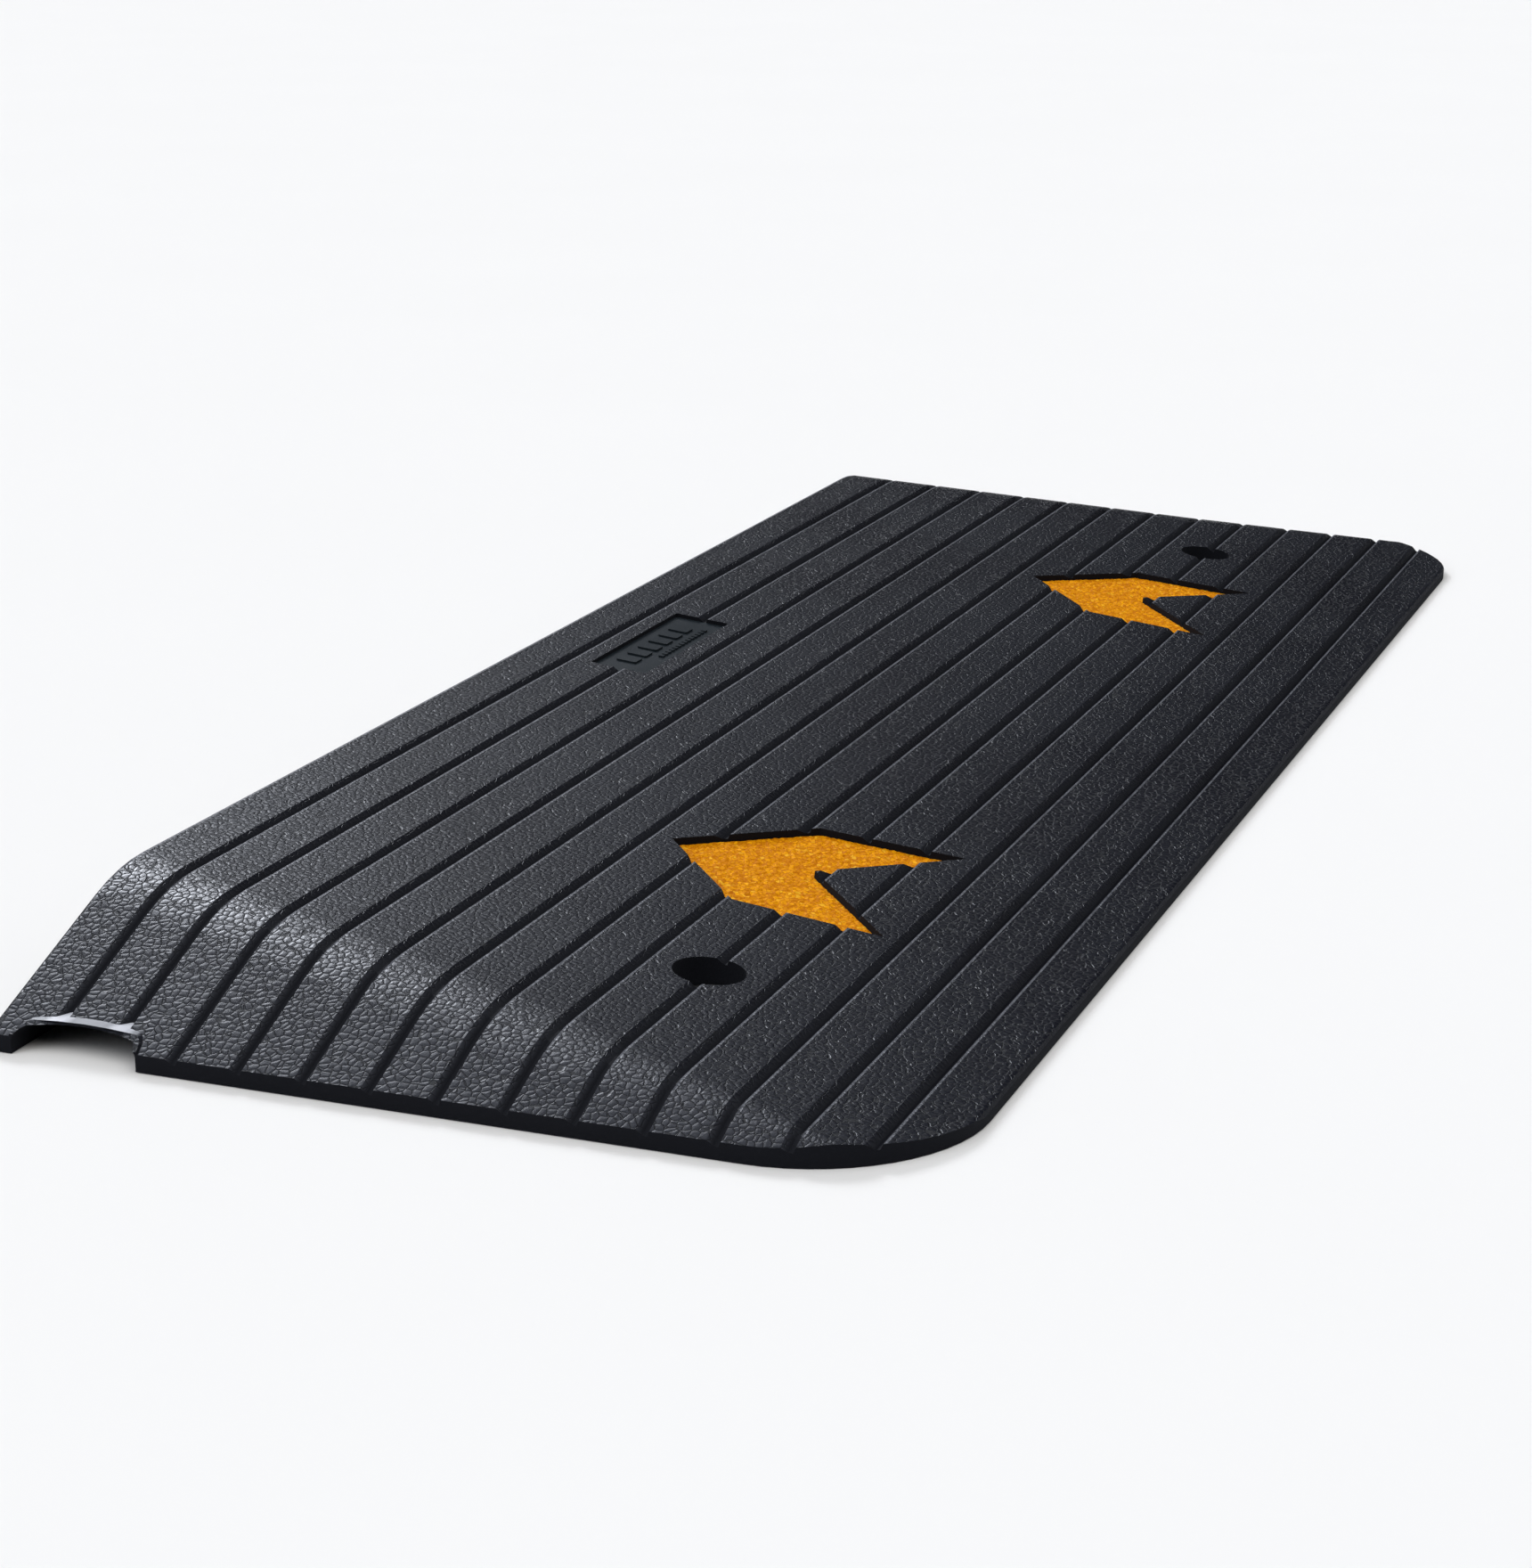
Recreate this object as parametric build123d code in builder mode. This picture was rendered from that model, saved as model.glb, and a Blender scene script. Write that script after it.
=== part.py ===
"""Rubber threshold ramp: a one-piece moulded wedge with two arrow inlays,
a nameplate and two anchor washers.

Frame: millimetres, +Z up, origin at the middle of the base.
+X runs along the grooves, +Y points at the high edge that meets the step.
"""
import os
from math import atan2, cos, sin, tan

from build123d import *

os.makedirs("parts", exist_ok=True)

# Overall sizes
LENGTH = 1066.0
DEPTH = 366.0
RISE = 44.0
LIP_HEIGHT = 4.8
END_HEIGHT = 6.6

# Bevelled ends: run of the bevel measured from the end face
BEVEL_RUN_HIGH = 96.4
BEVEL_RUN_LIP = -3.4
BEVEL_RUN_LEAST = 1.5
BEVEL_DROP_LEAST = 0.3
CREASE_TANGENT = 18.0

# Grooves, numbered 1 to 13 from the high edge
GROOVE_COUNT = 13
GROOVE_PITCH = 26.25
FIRST_LAND = 28.0
GROOVE_DEPTH = 2.0
# distance from the sharp edge of the next land, depth as a share of GROOVE_DEPTH
GROOVE_PROFILE = [(5.0, 0.0), (4.1, 0.25), (2.2, 0.9), (1.4, 1.0), (0.5, 1.0), (0.1, 0.4), (-0.3, 0.0)]

# Rounded edge along the high side and along the lip
BACK_ROUND = [(0.0, 3.0), (0.4, 1.5), (1.5, 0.4), (3.0, 0.0)]
LIP_ROUND = [(2.6, 0.0), (1.3, 0.3), (0.3, 1.3), (0.0, 2.6)]

# Corners seen from above
LIP_CORNER_R = 68.0
BACK_CORNER_R = 6.0

# Cable channel under the high edge: upright walls, rounded shoulders, slightly crowned roof
CHANNEL_Y = 145.7
CHANNEL_HALF = 26.1
CHANNEL_SHOULDER = 9.2
CHANNEL_CROWN = 10.9
CHANNEL_CORNER_R = 5.0

# Thin collar that stands up around each mouth of the channel
COLLAR_WALL = 1.1
COLLAR_FOOT = 7.6
COLLAR_SETBACK = 8.2

# Anchor holes
HOLE_FROM_END = 129.9
HOLE_Y = -52.7
HOLE_R = 14.3
HOLE_FLOOR = 6.0
BOLT_HOLE_R = 5.5

# Washers at the bottom of the anchor holes
WASHER_R = 13.5
WASHER_THICKNESS = 2.5

# Arrows, pointing at the high edge; the inlay lies a little below the groove floors
ARROW_FROM_END = 261.0
ARROW_TIP_Y = 15.5
ARROW_SHOULDER_X = 52.7
ARROW_SHOULDER_Y = -31.6
ARROW_WING_X = 55.3
ARROW_WING_Y = -97.0
ARROW_NOTCH_Y = -48.2
INLAY_DEPTH = 2.8
INLAY_THICKNESS = 1.8

# Nameplate, level with the groove floors
PLATE_LENGTH = 112.0
PLATE_WIDTH = 29.0
PLATE_Y = 131.3
PLATE_THICKNESS = 1.8
PLATE_CORNER_R = 1.5
RELIEF_HEIGHT = 0.9

HALF_LENGTH = LENGTH / 2
HALF_DEPTH = DEPTH / 2
SLOPE = (RISE - LIP_HEIGHT) / DEPTH
SLOPE_COS = cos(atan2(SLOPE, 1.0))


def land_height(y):
    """Height of the land tops at a distance y from the middle."""
    return LIP_HEIGHT + SLOPE * (y + HALF_DEPTH)


def bevel_run(y):
    """Run of the end bevel at a distance y from the middle."""
    share = (y + HALF_DEPTH) / DEPTH
    return max(BEVEL_RUN_LEAST, BEVEL_RUN_LIP + (BEVEL_RUN_HIGH - BEVEL_RUN_LIP) * share)


def on_slope(y):
    """Distance along the sloping top from its middle line."""
    return y / SLOPE_COS


def groove_edge(number):
    """Position of the sharp land edge beside a groove."""
    return HALF_DEPTH - FIRST_LAND - (number - 1) * GROOVE_PITCH


def ramp_stations():
    """Cross-section stations from the high edge to the lip, as position and drop."""
    stations = [(HALF_DEPTH - inset, drop) for inset, drop in BACK_ROUND]
    for number in range(1, GROOVE_COUNT + 1):
        edge = groove_edge(number)
        for offset, share in GROOVE_PROFILE:
            stations.append((edge + offset, share * GROOVE_DEPTH))
    for inset, drop in LIP_ROUND:
        stations.append((inset - HALF_DEPTH, drop))
    return stations


# The sloping plane through the land tops
land_plane = Plane(origin=(0, 0, land_height(0)), x_dir=(1, 0, 0), z_dir=(0, -SLOPE, 1))

# ---------------------------------------------------------------- ramp body
with BuildPart() as ramp_body:
    # Collars: an arched bar over the channel, cut back at both ends so it follows the bevel
    with BuildSketch(Plane.YZ):
        with BuildLine():
            near_y = CHANNEL_Y - CHANNEL_HALF - COLLAR_WALL
            far_y = CHANNEL_Y + CHANNEL_HALF + COLLAR_WALL
            Line((near_y, 0), (near_y, CHANNEL_SHOULDER + COLLAR_WALL))
            ThreePointArc(
                (near_y, CHANNEL_SHOULDER + COLLAR_WALL),
                (CHANNEL_Y, CHANNEL_CROWN + COLLAR_WALL),
                (far_y, CHANNEL_SHOULDER + COLLAR_WALL),
            )
            Line((far_y, CHANNEL_SHOULDER + COLLAR_WALL), (far_y, 0))
            Line((far_y, 0), (near_y, 0))
        make_face()
        fillet(vertices().group_by(Axis.Y)[-1], CHANNEL_CORNER_R + COLLAR_WALL)
    extrude(amount=HALF_LENGTH, both=True)
    with BuildSketch(Plane.XZ.offset(-HALF_DEPTH)):
        setback_x = HALF_LENGTH - COLLAR_SETBACK
        Polygon(
            (-HALF_LENGTH, 0),
            (-HALF_LENGTH, COLLAR_FOOT),
            (-setback_x, CHANNEL_CROWN),
            (-setback_x, RISE),
            (setback_x, RISE),
            (setback_x, CHANNEL_CROWN),
            (HALF_LENGTH, COLLAR_FOOT),
            (HALF_LENGTH, 0),
            align=None,
        )
    extrude(amount=DEPTH, mode=Mode.INTERSECT)
    # Grooved wedge with bevelled ends
    for y, drop in ramp_stations():
        run = bevel_run(y)
        top = land_height(y) - drop
        foot = min(END_HEIGHT, land_height(y) - BEVEL_DROP_LEAST) - drop
        angle = atan2(top - foot, run)
        tangent = min(CREASE_TANGENT, 0.45 * run)
        radius = tangent / tan(angle / 2)
        start_x = HALF_LENGTH - run + tangent * cos(angle)
        start_z = top - tangent * sin(angle)
        end_x = HALF_LENGTH - run - tangent
        mid_x = end_x + radius * sin(angle / 2)
        mid_z = top - radius + radius * cos(angle / 2)
        with BuildSketch(Plane.XZ.offset(-y)):
            with BuildLine():
                Line((-HALF_LENGTH, 0), (-HALF_LENGTH, foot))
                Line((-HALF_LENGTH, foot), (-start_x, start_z))
                ThreePointArc((-start_x, start_z), (-mid_x, mid_z), (-end_x, top))
                Line((-end_x, top), (end_x, top))
                ThreePointArc((end_x, top), (mid_x, mid_z), (start_x, start_z))
                Line((start_x, start_z), (HALF_LENGTH, foot))
                Line((HALF_LENGTH, foot), (HALF_LENGTH, 0))
                Line((HALF_LENGTH, 0), (-HALF_LENGTH, 0))
            make_face()
    loft(ruled=True)
    with BuildSketch(Plane.XY):
        with BuildLine():
            lip_x = HALF_LENGTH - LIP_CORNER_R
            lip_y = LIP_CORNER_R - HALF_DEPTH
            back_x = HALF_LENGTH - BACK_CORNER_R
            back_y = HALF_DEPTH - BACK_CORNER_R
            Line((-lip_x, -HALF_DEPTH), (lip_x, -HALF_DEPTH))
            RadiusArc((lip_x, -HALF_DEPTH), (HALF_LENGTH, lip_y), -LIP_CORNER_R)
            Line((HALF_LENGTH, lip_y), (HALF_LENGTH, back_y))
            RadiusArc((HALF_LENGTH, back_y), (back_x, HALF_DEPTH), -BACK_CORNER_R)
            Line((back_x, HALF_DEPTH), (-back_x, HALF_DEPTH))
            RadiusArc((-back_x, HALF_DEPTH), (-HALF_LENGTH, back_y), -BACK_CORNER_R)
            Line((-HALF_LENGTH, back_y), (-HALF_LENGTH, lip_y))
            RadiusArc((-HALF_LENGTH, lip_y), (-lip_x, -HALF_DEPTH), -LIP_CORNER_R)
        make_face()
    extrude(amount=RISE + 1, mode=Mode.INTERSECT)
    # Cable channel, open at both ends and along the base
    with BuildSketch(Plane.YZ):
        with BuildLine():
            near_y = CHANNEL_Y - CHANNEL_HALF
            far_y = CHANNEL_Y + CHANNEL_HALF
            Line((near_y, -1), (near_y, CHANNEL_SHOULDER))
            ThreePointArc(
                (near_y, CHANNEL_SHOULDER),
                (CHANNEL_Y, CHANNEL_CROWN),
                (far_y, CHANNEL_SHOULDER),
            )
            Line((far_y, CHANNEL_SHOULDER), (far_y, -1))
            Line((far_y, -1), (near_y, -1))
        make_face()
        fillet(vertices().group_by(Axis.Y)[-1], CHANNEL_CORNER_R)
    extrude(amount=HALF_LENGTH + 1, both=True, mode=Mode.SUBTRACT)
    # Anchor holes
    hole_x = HALF_LENGTH - HOLE_FROM_END
    with BuildSketch(Plane.XY.offset(HOLE_FLOOR)):
        with Locations((-hole_x, HOLE_Y), (hole_x, HOLE_Y)):
            Circle(HOLE_R)
    extrude(amount=RISE, mode=Mode.SUBTRACT)
    with BuildSketch(Plane.XY):
        with Locations((-hole_x, HOLE_Y), (hole_x, HOLE_Y)):
            Circle(BOLT_HOLE_R)
    extrude(amount=RISE, mode=Mode.SUBTRACT)
    # Arrow pockets
    arrow_x = HALF_LENGTH - ARROW_FROM_END
    with BuildSketch(land_plane.offset(-INLAY_DEPTH - INLAY_THICKNESS)):
        with Locations((-arrow_x, 0), (arrow_x, 0)):
            Polygon(
                (0, on_slope(ARROW_TIP_Y)),
                (-ARROW_SHOULDER_X, on_slope(ARROW_SHOULDER_Y)),
                (-ARROW_WING_X, on_slope(ARROW_WING_Y)),
                (0, on_slope(ARROW_NOTCH_Y)),
                (ARROW_WING_X, on_slope(ARROW_WING_Y)),
                (ARROW_SHOULDER_X, on_slope(ARROW_SHOULDER_Y)),
                align=None,
            )
    extrude(amount=INLAY_DEPTH + INLAY_THICKNESS + 5, mode=Mode.SUBTRACT)
    # Nameplate recess
    with BuildSketch(land_plane.offset(-GROOVE_DEPTH - PLATE_THICKNESS)):
        with Locations((0, on_slope(PLATE_Y))):
            RectangleRounded(PLATE_LENGTH, PLATE_WIDTH, PLATE_CORNER_R)
    extrude(amount=GROOVE_DEPTH + PLATE_THICKNESS + 5, mode=Mode.SUBTRACT)
ramp_body.part.label = "ramp_body"
export_step(ramp_body.part, "parts/ramp_body.step")

# ------------------------------------------------------------- arrow inlays
with BuildPart() as arrow_inlay_left:
    with BuildSketch(land_plane.offset(-INLAY_DEPTH - INLAY_THICKNESS)):
        with Locations((-arrow_x, 0)):
            Polygon(
                (0, on_slope(ARROW_TIP_Y)),
                (-ARROW_SHOULDER_X, on_slope(ARROW_SHOULDER_Y)),
                (-ARROW_WING_X, on_slope(ARROW_WING_Y)),
                (0, on_slope(ARROW_NOTCH_Y)),
                (ARROW_WING_X, on_slope(ARROW_WING_Y)),
                (ARROW_SHOULDER_X, on_slope(ARROW_SHOULDER_Y)),
                align=None,
            )
    extrude(amount=INLAY_THICKNESS)
arrow_inlay_left.part.label = "arrow_inlay_left"
export_step(arrow_inlay_left.part, "parts/arrow_inlay_left.step")

with BuildPart() as arrow_inlay_right:
    with BuildSketch(land_plane.offset(-INLAY_DEPTH - INLAY_THICKNESS)):
        with Locations((arrow_x, 0)):
            Polygon(
                (0, on_slope(ARROW_TIP_Y)),
                (-ARROW_SHOULDER_X, on_slope(ARROW_SHOULDER_Y)),
                (-ARROW_WING_X, on_slope(ARROW_WING_Y)),
                (0, on_slope(ARROW_NOTCH_Y)),
                (ARROW_WING_X, on_slope(ARROW_WING_Y)),
                (ARROW_SHOULDER_X, on_slope(ARROW_SHOULDER_Y)),
                align=None,
            )
    extrude(amount=INLAY_THICKNESS)
arrow_inlay_right.part.label = "arrow_inlay_right"
export_step(arrow_inlay_right.part, "parts/arrow_inlay_right.step")

# ---------------------------------------------------------------- nameplate
with BuildPart() as nameplate:
    with BuildSketch(land_plane.offset(-GROOVE_DEPTH - PLATE_THICKNESS)):
        with Locations((0, on_slope(PLATE_Y))):
            RectangleRounded(PLATE_LENGTH, PLATE_WIDTH, PLATE_CORNER_R)
    extrude(amount=PLATE_THICKNESS)
    # Plain raised blocks and a row of studs, a stand-in for lettering
    with BuildSketch(land_plane.offset(-GROOVE_DEPTH)):
        with Locations((0, on_slope(PLATE_Y) + 3.2)):
            with GridLocations(13.5, 1, 6, 1):
                RectangleRounded(9.5, 10.5, 1.2)
        with Locations((11.0, on_slope(PLATE_Y) - 7.6)):
            with GridLocations(4.4, 1, 14, 1):
                Rectangle(2.8, 2.4)
    extrude(amount=RELIEF_HEIGHT)
nameplate.part.label = "nameplate"
export_step(nameplate.part, "parts/nameplate.step")

# ----------------------------------------------------------- anchor washers
with BuildPart() as anchor_washer_left:
    with BuildSketch(Plane.XY.offset(HOLE_FLOOR)):
        with Locations((-hole_x, HOLE_Y)):
            Circle(WASHER_R)
            Circle(BOLT_HOLE_R, mode=Mode.SUBTRACT)
    extrude(amount=WASHER_THICKNESS)
anchor_washer_left.part.label = "anchor_washer_left"
export_step(anchor_washer_left.part, "parts/anchor_washer_left.step")

with BuildPart() as anchor_washer_right:
    with BuildSketch(Plane.XY.offset(HOLE_FLOOR)):
        with Locations((hole_x, HOLE_Y)):
            Circle(WASHER_R)
            Circle(BOLT_HOLE_R, mode=Mode.SUBTRACT)
    extrude(amount=WASHER_THICKNESS)
anchor_washer_right.part.label = "anchor_washer_right"
export_step(anchor_washer_right.part, "parts/anchor_washer_right.step")
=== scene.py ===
"""Looks of the rubber threshold ramp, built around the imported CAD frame. Metres, row frame."""
import math
import random

import bpy
from mathutils import Matrix, Vector
from mathutils.geometry import delaunay_2d_cdt
from mathutils.kdtree import KDTree


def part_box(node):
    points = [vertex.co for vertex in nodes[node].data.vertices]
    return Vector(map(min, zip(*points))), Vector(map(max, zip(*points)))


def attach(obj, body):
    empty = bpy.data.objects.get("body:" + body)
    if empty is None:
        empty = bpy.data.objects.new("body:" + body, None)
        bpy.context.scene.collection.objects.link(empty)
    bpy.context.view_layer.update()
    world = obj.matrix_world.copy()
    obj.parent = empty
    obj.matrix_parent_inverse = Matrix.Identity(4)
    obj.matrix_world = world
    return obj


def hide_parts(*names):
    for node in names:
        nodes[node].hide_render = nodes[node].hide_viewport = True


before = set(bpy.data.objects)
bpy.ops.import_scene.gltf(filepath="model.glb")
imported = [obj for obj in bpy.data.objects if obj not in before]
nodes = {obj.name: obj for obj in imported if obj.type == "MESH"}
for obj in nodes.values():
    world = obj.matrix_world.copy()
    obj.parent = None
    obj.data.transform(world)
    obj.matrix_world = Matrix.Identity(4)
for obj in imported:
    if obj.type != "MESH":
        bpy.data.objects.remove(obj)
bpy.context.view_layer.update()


# ------------------------------------------------------------------ node helpers
class Graph:
    """Short calls for building a node tree. A value is a number, a colour or another node's socket."""

    def __init__(self, tree):
        self.tree = tree

    def add(self, kind, **settings):
        node = self.tree.nodes.new(kind)
        for key, value in settings.items():
            setattr(node, key, value)
        return node

    def feed(self, socket, value):
        if isinstance(value, bpy.types.NodeSocket):
            self.tree.links.new(value, socket)
        else:
            socket.default_value = value

    def math(self, operation, first, second=0.0, clamp=False):
        node = self.add("ShaderNodeMath", operation=operation, use_clamp=clamp)
        self.feed(node.inputs[0], first)
        self.feed(node.inputs[1], second)
        return node.outputs[0]

    def ramp(self, value, low, high, to_low=0.0, to_high=1.0, smooth=True):
        node = self.add("ShaderNodeMapRange")
        node.interpolation_type = "SMOOTHSTEP" if smooth else "LINEAR"
        node.clamp = True
        for index, item in enumerate((value, low, high, to_low, to_high)):
            self.feed(node.inputs[index], item)
        return node.outputs[0]

    def mix(self, factor, first, second):
        node = self.add("ShaderNodeMix", data_type="RGBA")
        self.feed(node.inputs[0], factor)
        self.feed(node.inputs[6], first)
        self.feed(node.inputs[7], second)
        return node.outputs[2]

    def noise(self, vector, scale, detail=2.0):
        node = self.add("ShaderNodeTexNoise")
        self.feed(node.inputs["Vector"], vector)
        self.feed(node.inputs["Scale"], scale)
        self.feed(node.inputs["Detail"], detail)
        self.feed(node.inputs["Roughness"], 0.5)
        return node.outputs

    def cells(self, vector, scale, feature, randomness=1.0):
        node = self.add("ShaderNodeTexVoronoi", feature=feature)
        self.feed(node.inputs["Vector"], vector)
        self.feed(node.inputs["Scale"], scale)
        self.feed(node.inputs["Randomness"], randomness)
        return node.outputs

    def vector(self, operation, first, second):
        node = self.add("ShaderNodeVectorMath", operation=operation)
        self.feed(node.inputs[0], first)
        self.feed(node.inputs["Scale" if operation == "SCALE" else 1], second)
        return node.outputs

    def split(self, kind, value):
        node = self.add(kind)
        self.feed(node.inputs[0], value)
        return node.outputs


class Surface(Graph):
    """The node tree of a new material."""

    def __init__(self, name):
        self.material = bpy.data.materials.new(name)
        self.material.use_nodes = True
        super().__init__(self.material.node_tree)
        self.tree.nodes.clear()
        self.output = self.add("ShaderNodeOutputMaterial")
        self.place = self.add("ShaderNodeTexCoord").outputs["Object"]

    def bump(self, height, strength, distance):
        node = self.add("ShaderNodeBump")
        node.inputs["Strength"].default_value = strength
        node.inputs["Distance"].default_value = distance
        self.feed(node.inputs["Height"], height)
        return node.outputs[0]

    def shader(self, colour, roughness, normal=None, **constants):
        node = self.add("ShaderNodeBsdfPrincipled")
        self.feed(node.inputs["Base Color"], colour)
        self.feed(node.inputs["Roughness"], roughness)
        if normal is not None:
            self.feed(node.inputs["Normal"], normal)
        for key, value in constants.items():
            node.inputs[key.replace("_", " ")].default_value = value
        self.tree.links.new(node.outputs[0], self.output.inputs["Surface"])


# ------------------------------------------------------------------ materials
# the grooves' places, repeated from the part: the first land's sharp edge and the pitch
FIRST_EDGE = 0.155
PITCH = 0.02625
# the collars round the channel mouths lie below this height and behind this line
COLLAR_TOP_Z = 0.0125
COLLAR_FRONT_Y = 0.113

PEBBLES_PER_METRE = 325.0
PEBBLE_JITTER = 0.8
PEBBLE_WARP = 0.0016
PEBBLE_DEPTH = 0.0003

RUBBER_DARK = (0.0068, 0.0074, 0.0116, 1)
RUBBER_LIGHT = (0.0090, 0.0097, 0.0148, 1)
RUBBER_SPECK = (0.022, 0.023, 0.030, 1)
# painted shade, darkening the cracks between pebbles
RUBBER_CRACK_SHADE = (0.0008, 0.0009, 0.0014, 1)
# painted shade on the grainless grooves and walls
RUBBER_BARE_SHADE = (0.0028, 0.0030, 0.0042, 1)
# painted highlight along the worn land edges
RUBBER_EDGE_HIGHLIGHT = (0.120, 0.125, 0.145, 1)
# painted light on the collar tops: a lit grey with pale painted highlight bands
COLLAR_LIT_GREY = (0.055, 0.058, 0.070, 1)
COLLAR_HIGHLIGHT = (0.42, 0.43, 0.47, 1)
RUBBER_TINT = (0.86, 0.90, 1.0, 1.0)

GRANULES_PER_METRE = 520.0
GRANULE_DEEP = (0.54, 0.175, 0.0010, 1)
GRANULE_BRIGHT = (0.90, 0.380, 0.003, 1)
GRANULE_PATCH = (0.64, 0.215, 0.001, 1)
GRANULE_PALE = (0.96, 0.54, 0.03, 1)
# painted shade in the gaps between granules
GRANULE_GAP_SHADE = (0.42, 0.100, 0.0006, 1)

PLATE_DARK = (0.0125, 0.0175, 0.0215, 1)
PLATE_LIGHT = (0.0170, 0.0220, 0.0270, 1)
ZINC_DULL = (0.33, 0.33, 0.34, 1)
ZINC_BRIGHT = (0.5, 0.5, 0.51, 1)
FLOOR_DARK = (0.866, 0.856, 0.838, 1)
FLOOR_LIGHT = (0.880, 0.870, 0.852, 1)


def pebbles(g):
    """Height of the pebble grain, and how far each spot is out of the cracks between pebbles."""
    offset = g.vector("SUBTRACT", g.noise(g.place, 150.0)["Color"], (0.5, 0.5, 0.5))[0]
    warped = g.vector("ADD", g.place, g.vector("SCALE", offset, PEBBLE_WARP)[0])[0]
    edge = g.cells(warped, PEBBLES_PER_METRE, "DISTANCE_TO_EDGE", PEBBLE_JITTER)["Distance"]
    cell = g.cells(warped, PEBBLES_PER_METRE, "F1", PEBBLE_JITTER)["Color"]
    tint = g.split("ShaderNodeSeparateColor", cell)
    raised = g.ramp(edge, 0.02, 0.09)
    dome = g.math("ADD", g.math("MULTIPLY", raised, 0.75), g.math("MULTIPLY", g.ramp(edge, 0.0, 0.4), 0.25))
    height = g.math("MULTIPLY", dome, g.ramp(tint[0], 0.0, 1.0, 0.85, 1.0, smooth=False))
    return height, raised


def pebble_rubber():
    """Black moulded rubber: pebble grain on the lands, smooth grooves and walls, worn land edges; painted
    shade in the cracks, in the grooves and on the walls, painted highlights along the land edges and
    painted light on the collar tops.
    """
    g = Surface("pebble_rubber")
    spot = g.split("ShaderNodeSeparateXYZ", g.place)
    facing = g.split("ShaderNodeSeparateXYZ", g.add("ShaderNodeNewGeometry").outputs["True Normal"])
    height, raised = pebbles(g)
    fine = g.noise(g.place, 1700.0, 3.0)["Fac"]
    height = g.math("ADD", height, g.math("MULTIPLY", fine, 0.05))
    # upright walls carry no grain; down the gentle side of a groove it fades out
    lean = g.math("ABSOLUTE", facing[0])
    upward = g.ramp(facing[2], 0.55, 0.8)
    # share of a pitch from the nearest sharp land edge, towards the lip; the groove floor comes last
    phase = g.math("FRACT", g.math("DIVIDE", g.math("SUBTRACT", FIRST_EDGE, spot[1]), PITCH))
    groove = g.math("MULTIPLY", g.ramp(phase, 0.80, 0.92), upward)
    grained = g.math("MULTIPLY", upward, g.math("SUBTRACT", 1.0, groove))
    # fine speckle and rubbed land edges on the flat top, neither on the end bevels; the rubbed edges are
    # also painted with a highlight
    flat = g.ramp(lean, 0.12, 0.30, 1.0, 0.0)
    speckle = g.math("MULTIPLY", g.noise(g.place, 800.0)["Fac"], flat)
    height = g.math("ADD", height, g.math("MULTIPLY", speckle, 0.45))
    worn = g.math("MULTIPLY", g.ramp(phase, 0.026, 0.056, 1.0, 0.0), g.math("MULTIPLY", upward, flat))
    rub = g.noise(g.place, 420.0, 3.0)["Fac"]
    worn = g.math("MULTIPLY", worn, g.ramp(rub, 0.30, 0.60, 0.45, 1.0))
    grained = g.math("MULTIPLY", grained, g.math("SUBTRACT", 1.0, g.math("MULTIPLY", worn, 0.6)))
    # the thin collar round each mouth of the channel is smooth on top, with painted light there: a lit grey
    # and pale painted highlight bands
    low = g.ramp(spot[2], COLLAR_TOP_Z - 0.0002, COLLAR_TOP_Z + 0.0002, 1.0, 0.0)
    back = g.ramp(spot[1], COLLAR_FRONT_Y - 0.001, COLLAR_FRONT_Y + 0.001)
    collar = g.math("MULTIPLY", g.math("MULTIPLY", low, back), g.ramp(facing[2], 0.955, 0.975))
    grained = g.math("MULTIPLY", grained, g.math("SUBTRACT", 1.0, collar))
    relief = g.math("ADD", g.math("MULTIPLY", height, grained), g.math("MULTIPLY", fine, 0.03))
    # colour: black rubber with a blue cast, paler specks, painted shade in the cracks, faint large patches
    patch = g.noise(g.place, 9.0, 3.0)["Fac"]
    speck = g.noise(g.place, 620.0)["Fac"]
    bare = g.math("SUBTRACT", 1.0, grained)
    # painted shade: the cracks between pebbles are darkened
    dark = g.math("MULTIPLY", g.math("SUBTRACT", 1.0, raised), g.math("MULTIPLY", grained, 0.95))
    # painted highlight bands across each collar top, at every groove's steep side, over a painted lit grey
    highlight_band = g.math("ABSOLUTE", g.math("SUBTRACT", g.math("FRACT", g.math("ADD", phase, 0.58)), 0.5))
    rim = g.mix(g.ramp(highlight_band, 0.08, 0.24, 1.0, 0.0), COLLAR_LIT_GREY, COLLAR_HIGHLIGHT)
    base = g.mix(g.ramp(patch, 0.3, 0.7), RUBBER_DARK, RUBBER_LIGHT)
    base = g.mix(g.math("MULTIPLY", g.ramp(speck, 0.5, 0.75), 0.30), base, RUBBER_SPECK)
    base = g.mix(dark, base, RUBBER_CRACK_SHADE)
    # painted shade on the grooves and walls that carry no grain
    base = g.mix(g.math("MULTIPLY", bare, 0.7), base, RUBBER_BARE_SHADE)
    # painted highlight on the worn land edges
    base = g.mix(g.math("MULTIPLY", worn, 0.70), base, RUBBER_EDGE_HIGHLIGHT)
    # painted light on the collar tops
    base = g.mix(g.math("MULTIPLY", collar, 0.9), base, rim)
    # gloss: dull on walls, on bare slopes, on worn edges and in the cracks
    sloped = g.ramp(lean, 0.04, 0.18)
    dull = g.math("MULTIPLY", bare, g.math("MAXIMUM", sloped, g.math("SUBTRACT", 1.0, upward)))
    rough = g.math("ADD", g.ramp(patch, 0.3, 0.7, 0.25, 0.30), g.math("MULTIPLY", dull, 0.70))
    rough = g.math("ADD", rough, g.math("MULTIPLY", worn, 0.25))
    rough = g.math("ADD", rough, g.math("MULTIPLY", dark, 0.35), clamp=True)
    normal = g.bump(relief, 1.0, PEBBLE_DEPTH)
    g.shader(base, rough, normal, Specular_IOR_Level=0.28, Specular_Tint=RUBBER_TINT)
    return g.material


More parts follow.
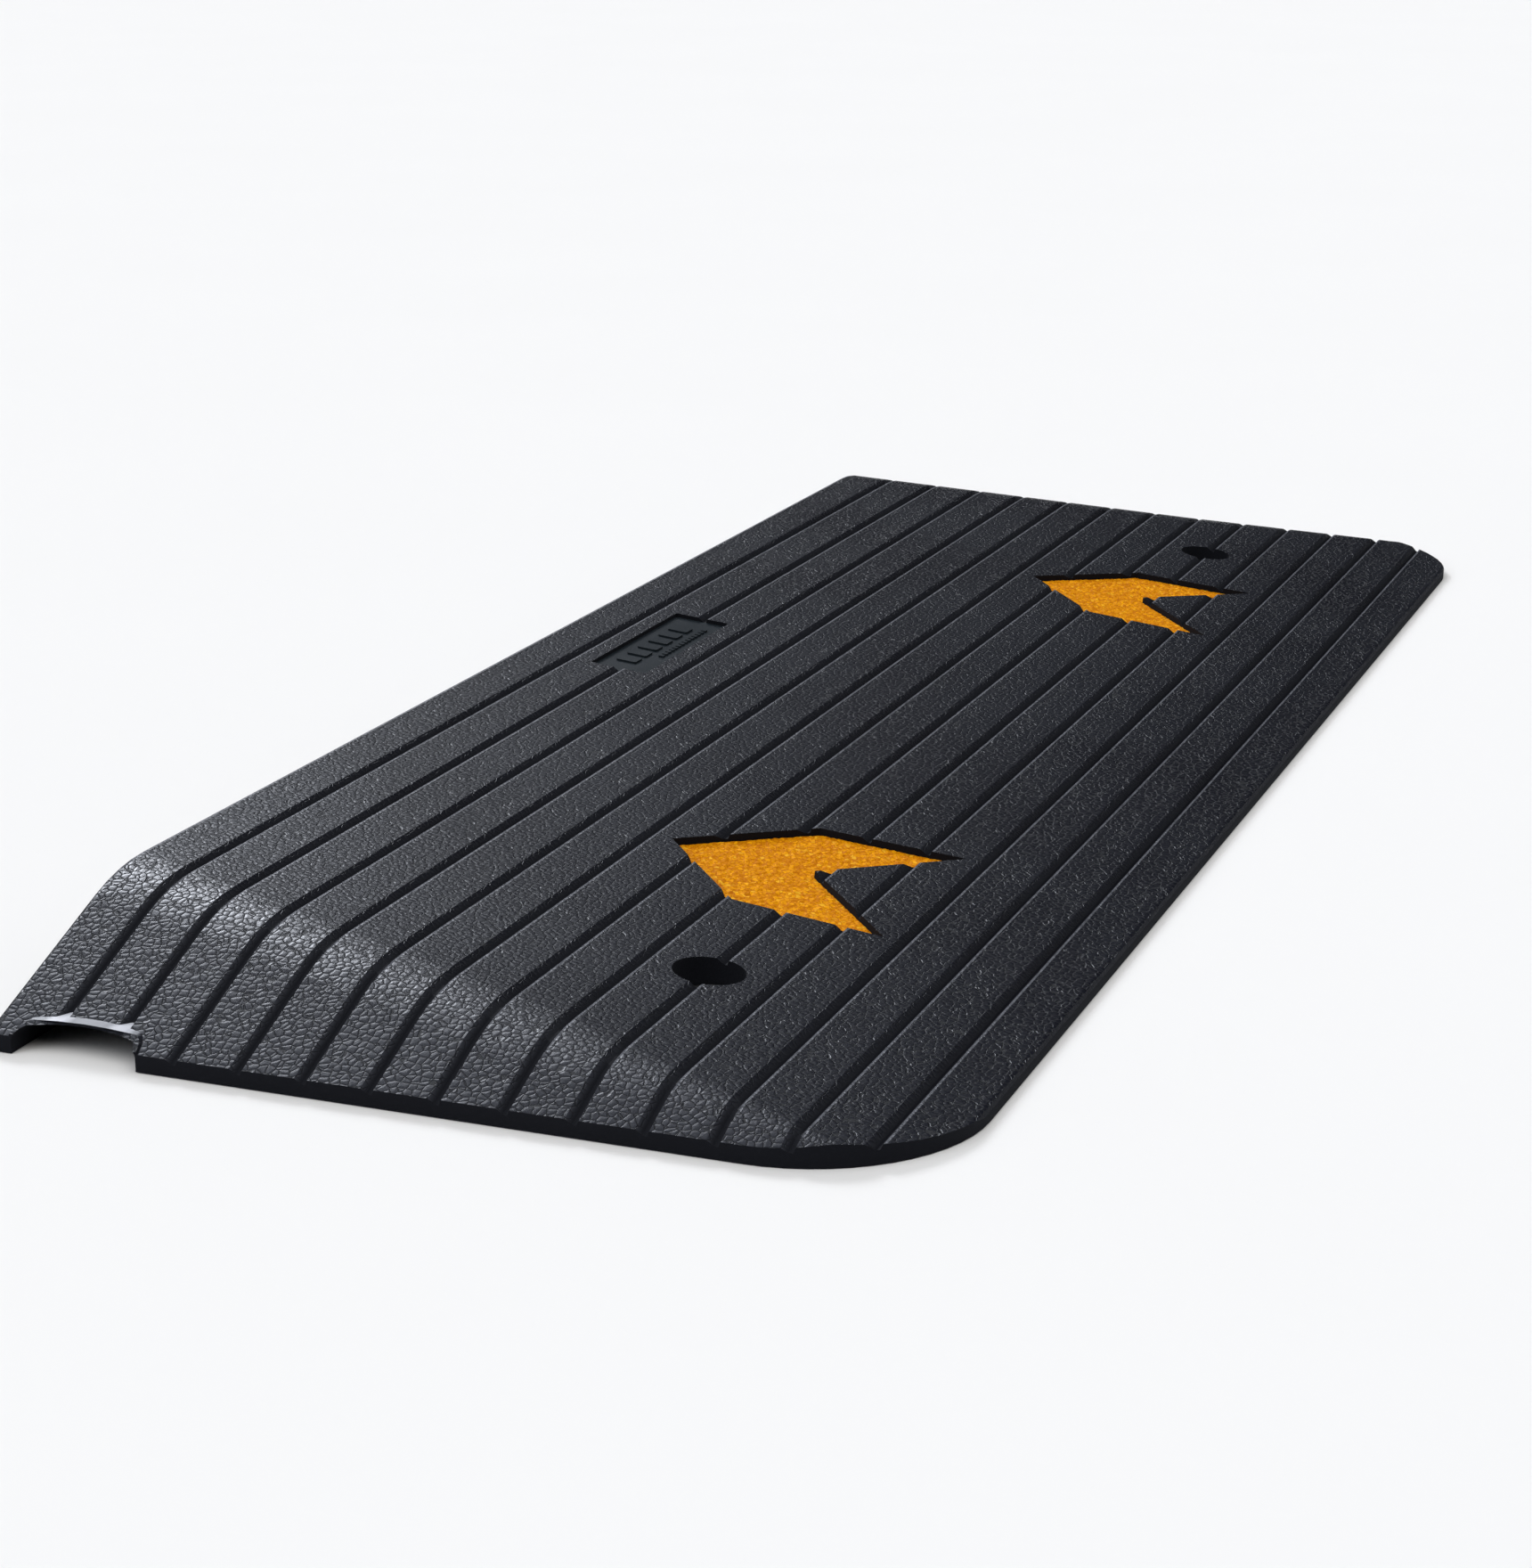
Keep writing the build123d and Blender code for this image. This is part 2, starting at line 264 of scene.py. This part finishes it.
def granules():
    """Yellow wear-resistant granules cast into the arrow pockets."""
    g = Surface("arrow_granules")
    tint = g.split("ShaderNodeSeparateColor", g.cells(g.place, GRANULES_PER_METRE, "F1")["Color"])
    gap = g.cells(g.place, GRANULES_PER_METRE, "DISTANCE_TO_EDGE")["Distance"]
    patch = g.noise(g.place, 60.0, 3.0)["Fac"]
    fine = g.noise(g.place, 2600.0)["Fac"]
    base = g.mix(tint[0], GRANULE_DEEP, GRANULE_BRIGHT)
    base = g.mix(g.math("MULTIPLY", g.ramp(patch, 0.35, 0.7), 0.35), base, GRANULE_PATCH)
    base = g.mix(g.math("MULTIPLY", g.ramp(tint[1], 0.88, 0.98), 0.6), base, GRANULE_PALE)
    # painted shade: darker in the gaps between granules
    base = g.mix(g.ramp(gap, 0.02, 0.12, 0.7, 0.0), base, GRANULE_GAP_SHADE)
    normal = g.bump(fine, 0.5, 0.0002)
    g.shader(base, g.ramp(fine, 0.3, 0.7, 0.5, 0.7), normal, Specular_IOR_Level=0.02)
    return g.material


def plate_rubber():
    """Smooth dark rubber of the nameplate."""
    g = Surface("plate_rubber")
    patch = g.noise(g.place, 40.0, 3.0)["Fac"]
    fine = g.noise(g.place, 900.0, 3.0)["Fac"]
    base = g.mix(patch, PLATE_DARK, PLATE_LIGHT)
    normal = g.bump(fine, 0.4, 0.0001)
    g.shader(base, g.ramp(patch, 0.3, 0.7, 0.28, 0.36), normal, Specular_IOR_Level=0.12)
    return g.material


def washer_steel():
    """Zinc-plated steel with a fine tooth and dull patches."""
    g = Surface("washer_steel")
    patch = g.noise(g.place, 160.0, 4.0)["Fac"]
    fine = g.noise(g.place, 2400.0)["Fac"]
    base = g.mix(patch, ZINC_DULL, ZINC_BRIGHT)
    normal = g.bump(fine, 0.3, 0.00005)
    g.shader(base, g.ramp(patch, 0.3, 0.7, 0.3, 0.5), normal, Metallic=1.0)
    return g.material


def pale_floor():
    """Matt pale studio floor with a faint unevenness."""
    g = Surface("pale_floor")
    g.shader(g.mix(g.noise(g.place, 3.0)["Fac"], FLOOR_DARK, FLOOR_LIGHT), 0.9, Specular_IOR_Level=0.0)
    return g.material


def dress(obj, material):
    obj.data.materials.clear()
    obj.data.materials.append(material)


grit = granules()
steel = washer_steel()
dress(nodes["ramp_body"], pebble_rubber())
dress(nodes["nameplate"], plate_rubber())
dress(nodes["anchor_washer_left"], steel)
dress(nodes["anchor_washer_right"], steel)


# ------------------------------------------------------------------ arrow inlays
# the arrow's outline, repeated from the part
TIP_Y, SHOULDER_Y, WING_Y, NOTCH_Y = 0.0155, -0.0316, -0.0970, -0.0482
SHOULDER_X, WING_X = 0.0527, 0.0553
# spacing of the skin's points and of the grains, height of a full grain
SKIN_STEP = 0.00062
GRAIN_STEP = 0.0019
GRAIN_RISE = 0.00075
# grains sink towards the rim: share of their rise right at it, and the distance that adds a full rise
RIM_SHARE = 0.35
RIM_FADE = 0.0012
SAME_Y = 0.0004


def sides(outline):
    """The sides of a closed outline, each as its two corners."""
    return zip(outline, outline[1:] + outline[:1])


def inside(x, y, outline):
    found = False
    for (ax, ay), (bx, by) in sides(outline):
        if (ay > y) != (by > y) and x < (bx - ax) * (y - ay) / (by - ay) + ax:
            found = not found
    return found


def squares(centre, step):
    """Corners of a square grid over the arrow's box, row by row."""
    y = WING_Y
    while y < TIP_Y:
        x = centre - WING_X
        while x < centre + WING_X:
            yield x, y
            x += step
        y += step


def top_heights(node):
    """Heights of the inlay's flat top at the tip and at the wings, read from the CAD node."""
    corners = [v.co for v in nodes[node].data.vertices]
    tip = max(p.y for p in corners)
    wing = min(p.y for p in corners)
    return [max(p.z for p in corners if abs(p.y - y) < SAME_Y) for y in (tip, wing)]


def rim_points(outline):
    """Even steps along the outline."""
    points = []
    for (ax, ay), (bx, by) in sides(outline):
        count = max(2, int(math.hypot(bx - ax, by - ay) / SKIN_STEP))
        for step in range(count):
            share = step / count
            points.append(Vector((ax + (bx - ax) * share, ay + (by - ay) * share)))
    return points


def inner_points(centre, outline, rng):
    """A jittered grid that fills the outline."""
    points = []
    for x, y in squares(centre, SKIN_STEP):
        px = x + rng.uniform(-0.3, 0.3) * SKIN_STEP
        py = y + rng.uniform(-0.3, 0.3) * SKIN_STEP
        if inside(px, py, outline):
            points.append(Vector((px, py)))
    return points


def scatter_grains(centre, rng):
    """One grain per jittered square, each with its own place, radius and share of the full rise."""
    return [
        (
            x + rng.uniform(-0.5, 0.5) * GRAIN_STEP, y + rng.uniform(-0.5, 0.5) * GRAIN_STEP,
            rng.uniform(0.55, 0.85) * GRAIN_STEP, rng.uniform(0.3, 1.0),
        )
        for x, y in squares(centre, GRAIN_STEP)
    ]


def search_tree(places):
    tree = KDTree(len(places))
    for index, place in enumerate(places):
        tree.insert((place[0], place[1], 0.0), index)
    tree.balance()
    return tree


def grain_lift(place, grains, tree):
    """Share of the full rise at a place: the highest of the rounded grains that reach it."""
    lift = 0.0
    for _, index, distance in tree.find_n(place, 4):
        _, _, radius, rise = grains[index]
        if distance < radius:
            lift = max(lift, rise * math.sqrt(1 - (distance / radius) ** 2))
    return lift


def arrow(node, name, seed):
    """The granular fill of one pocket: a fine skin of rounded grains over a closed solid."""
    low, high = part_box(node)
    centre = (low.x + high.x) / 2
    outline = [
        (centre, TIP_Y), (centre - SHOULDER_X, SHOULDER_Y), (centre - WING_X, WING_Y),
        (centre, NOTCH_Y), (centre + WING_X, WING_Y), (centre + SHOULDER_X, SHOULDER_Y),
    ]
    tip_z, wing_z = top_heights(node)
    slope = (tip_z - wing_z) / (TIP_Y - WING_Y)
    rng = random.Random(seed)
    rim = rim_points(outline)
    count = len(rim)
    points = rim + inner_points(centre, outline, rng)
    edges = [(k, (k + 1) % count) for k in range(count)]
    verts, _, faces, _, _, _ = delaunay_2d_cdt(points, edges, [], 1, 1e-6)
    grains = scatter_grains(centre, rng)
    grain_tree = search_tree(grains)
    rim_tree = search_tree(rim)
    skin = []
    for v in verts:
        place = (v.x, v.y, 0.0)
        hold = min(1.0, RIM_SHARE + rim_tree.find(place)[2] / RIM_FADE)
        flat = tip_z + slope * (v.y - TIP_Y)
        skin.append((v.x, v.y, flat + GRAIN_RISE * (grain_lift(place, grains, grain_tree) * hold - 0.8)))
    # closed solid: skin, side wall, flat underside at the pocket floor
    bottom = low.z - wing_z
    base = len(skin)
    underside = [(p.x, p.y, tip_z + slope * (p.y - TIP_Y) + bottom) for p in rim]
    polys = [tuple(face) for face in faces]
    polys += [(k, base + k, base + n, n) for k, n in edges]
    polys.append(tuple(base + k for k in reversed(range(count))))
    mesh = bpy.data.meshes.new(name)
    mesh.from_pydata(skin + underside, [], polys)
    mesh.update()
    obj = bpy.data.objects.new(name, mesh)
    bpy.context.scene.collection.objects.link(obj)
    for index, poly in enumerate(mesh.polygons):
        poly.use_smooth = index < len(faces)
    dress(obj, grit)
    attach(obj, "root")
    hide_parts(node)


arrow("arrow_inlay_left", "granular_arrow_left", 11)
arrow("arrow_inlay_right", "granular_arrow_right", 23)

# ------------------------------------------------------------------ floor
FLOOR_HALF = 30
FLOOR_DROP = 0.0004

mesh = bpy.data.meshes.new("floor")
floor_corners = [(x * FLOOR_HALF, y * FLOOR_HALF, 0) for x, y in ((-1, -1), (1, -1), (1, 1), (-1, 1))]
mesh.from_pydata(floor_corners, [], [(0, 1, 2, 3)])
floor = bpy.data.objects.new("floor", mesh)
floor.location.z = -FLOOR_DROP
bpy.context.scene.collection.objects.link(floor)
dress(floor, pale_floor())

# ------------------------------------------------------------------ light
STUDIO_COLOUR = (0.91, 0.94, 1.0, 1)
BACKDROP_COLOUR = (0.91, 0.91, 0.91, 1)
# overhead light: it grows between these two heights on the sky's sphere, from faint to full
OVERHEAD_FROM, OVERHEAD_TO = 0.62, 0.90
OVERHEAD_FAINT, OVERHEAD_FULL = 0.003, 0.80
# soft boxes: heading and height in degrees, tightness, strength
SOFT_BOXES = (
    (42, 32, 85.0, 25.0),
    (140, 34, 16.0, 2.6),
    (-52, 28, 16.0, 1.0),
    (26, 31, 60.0, 0.70),
)
FILL_HEADING, FILL_HEIGHT, FILL_SPREAD = 220, 66, 60
FILL_STRENGTH = 1.0
FILL_COLOUR = (1.0, 0.98, 0.94)


def towards(heading, height):
    heading, height = math.radians(heading), math.radians(height)
    return (math.cos(height) * math.cos(heading), math.cos(height) * math.sin(heading), math.sin(height))


world = bpy.data.worlds.new("studio")
bpy.context.scene.world = world
world.use_nodes = True
sky = Graph(world.node_tree)
where = sky.add("ShaderNodeTexCoord").outputs["Generated"]
lamp = world.node_tree.nodes["Background"]
lamp.inputs["Color"].default_value = STUDIO_COLOUR

# overhead light that leaves the horizon dark, then soft boxes that fade out all round
level = sky.split("ShaderNodeSeparateXYZ", where)[2]
light = sky.ramp(level, OVERHEAD_FROM, OVERHEAD_TO, OVERHEAD_FAINT, OVERHEAD_FULL)
for heading, height, tightness, strength in SOFT_BOXES:
    ahead = sky.vector("DOT_PRODUCT", where, towards(heading, height))["Value"]
    falloff = sky.math("POWER", sky.math("MAXIMUM", ahead, 0.0), tightness)
    light = sky.math("ADD", light, sky.math("MULTIPLY", falloff, strength))
sky.feed(lamp.inputs["Strength"], light)

# the camera itself looks past the lights at a plain pale backdrop
backdrop = sky.add("ShaderNodeBackground")
backdrop.inputs["Color"].default_value = BACKDROP_COLOUR
choose = sky.add("ShaderNodeMixShader")
sky.feed(choose.inputs[0], sky.add("ShaderNodeLightPath").outputs["Is Camera Ray"])
sky.feed(choose.inputs[1], lamp.outputs[0])
sky.feed(choose.inputs[2], backdrop.outputs[0])
sky.feed(world.node_tree.nodes["World Output"].inputs["Surface"], choose.outputs[0])

fill_data = bpy.data.lights.new("fill", "SUN")
fill_data.color = FILL_COLOUR
fill_data.energy = FILL_STRENGTH
fill_data.angle = math.radians(FILL_SPREAD)
fill = bpy.data.objects.new("fill", fill_data)
fill.rotation_euler = Vector(towards(FILL_HEADING, FILL_HEIGHT)).to_track_quat("Z", "Y").to_euler()
bpy.context.scene.collection.objects.link(fill)

# ------------------------------------------------------------------ camera
CAMERA_PLACE = (-1.5287, -0.4932, 0.4419)
CAMERA_HEADING, CAMERA_DIP, CAMERA_ROLL = 20.380, 16.126, 0.423
SENSOR_MM, LENS_MM = 36.0, 77.586
CLIP_START, CLIP_END = 0.05, 100.0

camera_data = bpy.data.cameras.new("camera")
camera_data.sensor_fit = "VERTICAL"
camera_data.sensor_height = SENSOR_MM
camera_data.lens = LENS_MM
camera_data.clip_start = CLIP_START
camera_data.clip_end = CLIP_END
camera = bpy.data.objects.new("camera", camera_data)
forward = Vector(towards(CAMERA_HEADING, -CAMERA_DIP))
sideways = Vector((forward.y, -forward.x, 0.0)).normalized()
above = sideways.cross(forward)
roll = math.radians(CAMERA_ROLL)
right = sideways * math.cos(roll) + above * math.sin(roll)
upward = right.cross(forward)
pose = Matrix((right, upward, -forward)).transposed().to_4x4()
pose.translation = Vector(CAMERA_PLACE)
camera.matrix_world = pose
bpy.context.scene.collection.objects.link(camera)
bpy.context.scene.camera = camera
bpy.context.scene.view_settings.view_transform = "Standard"
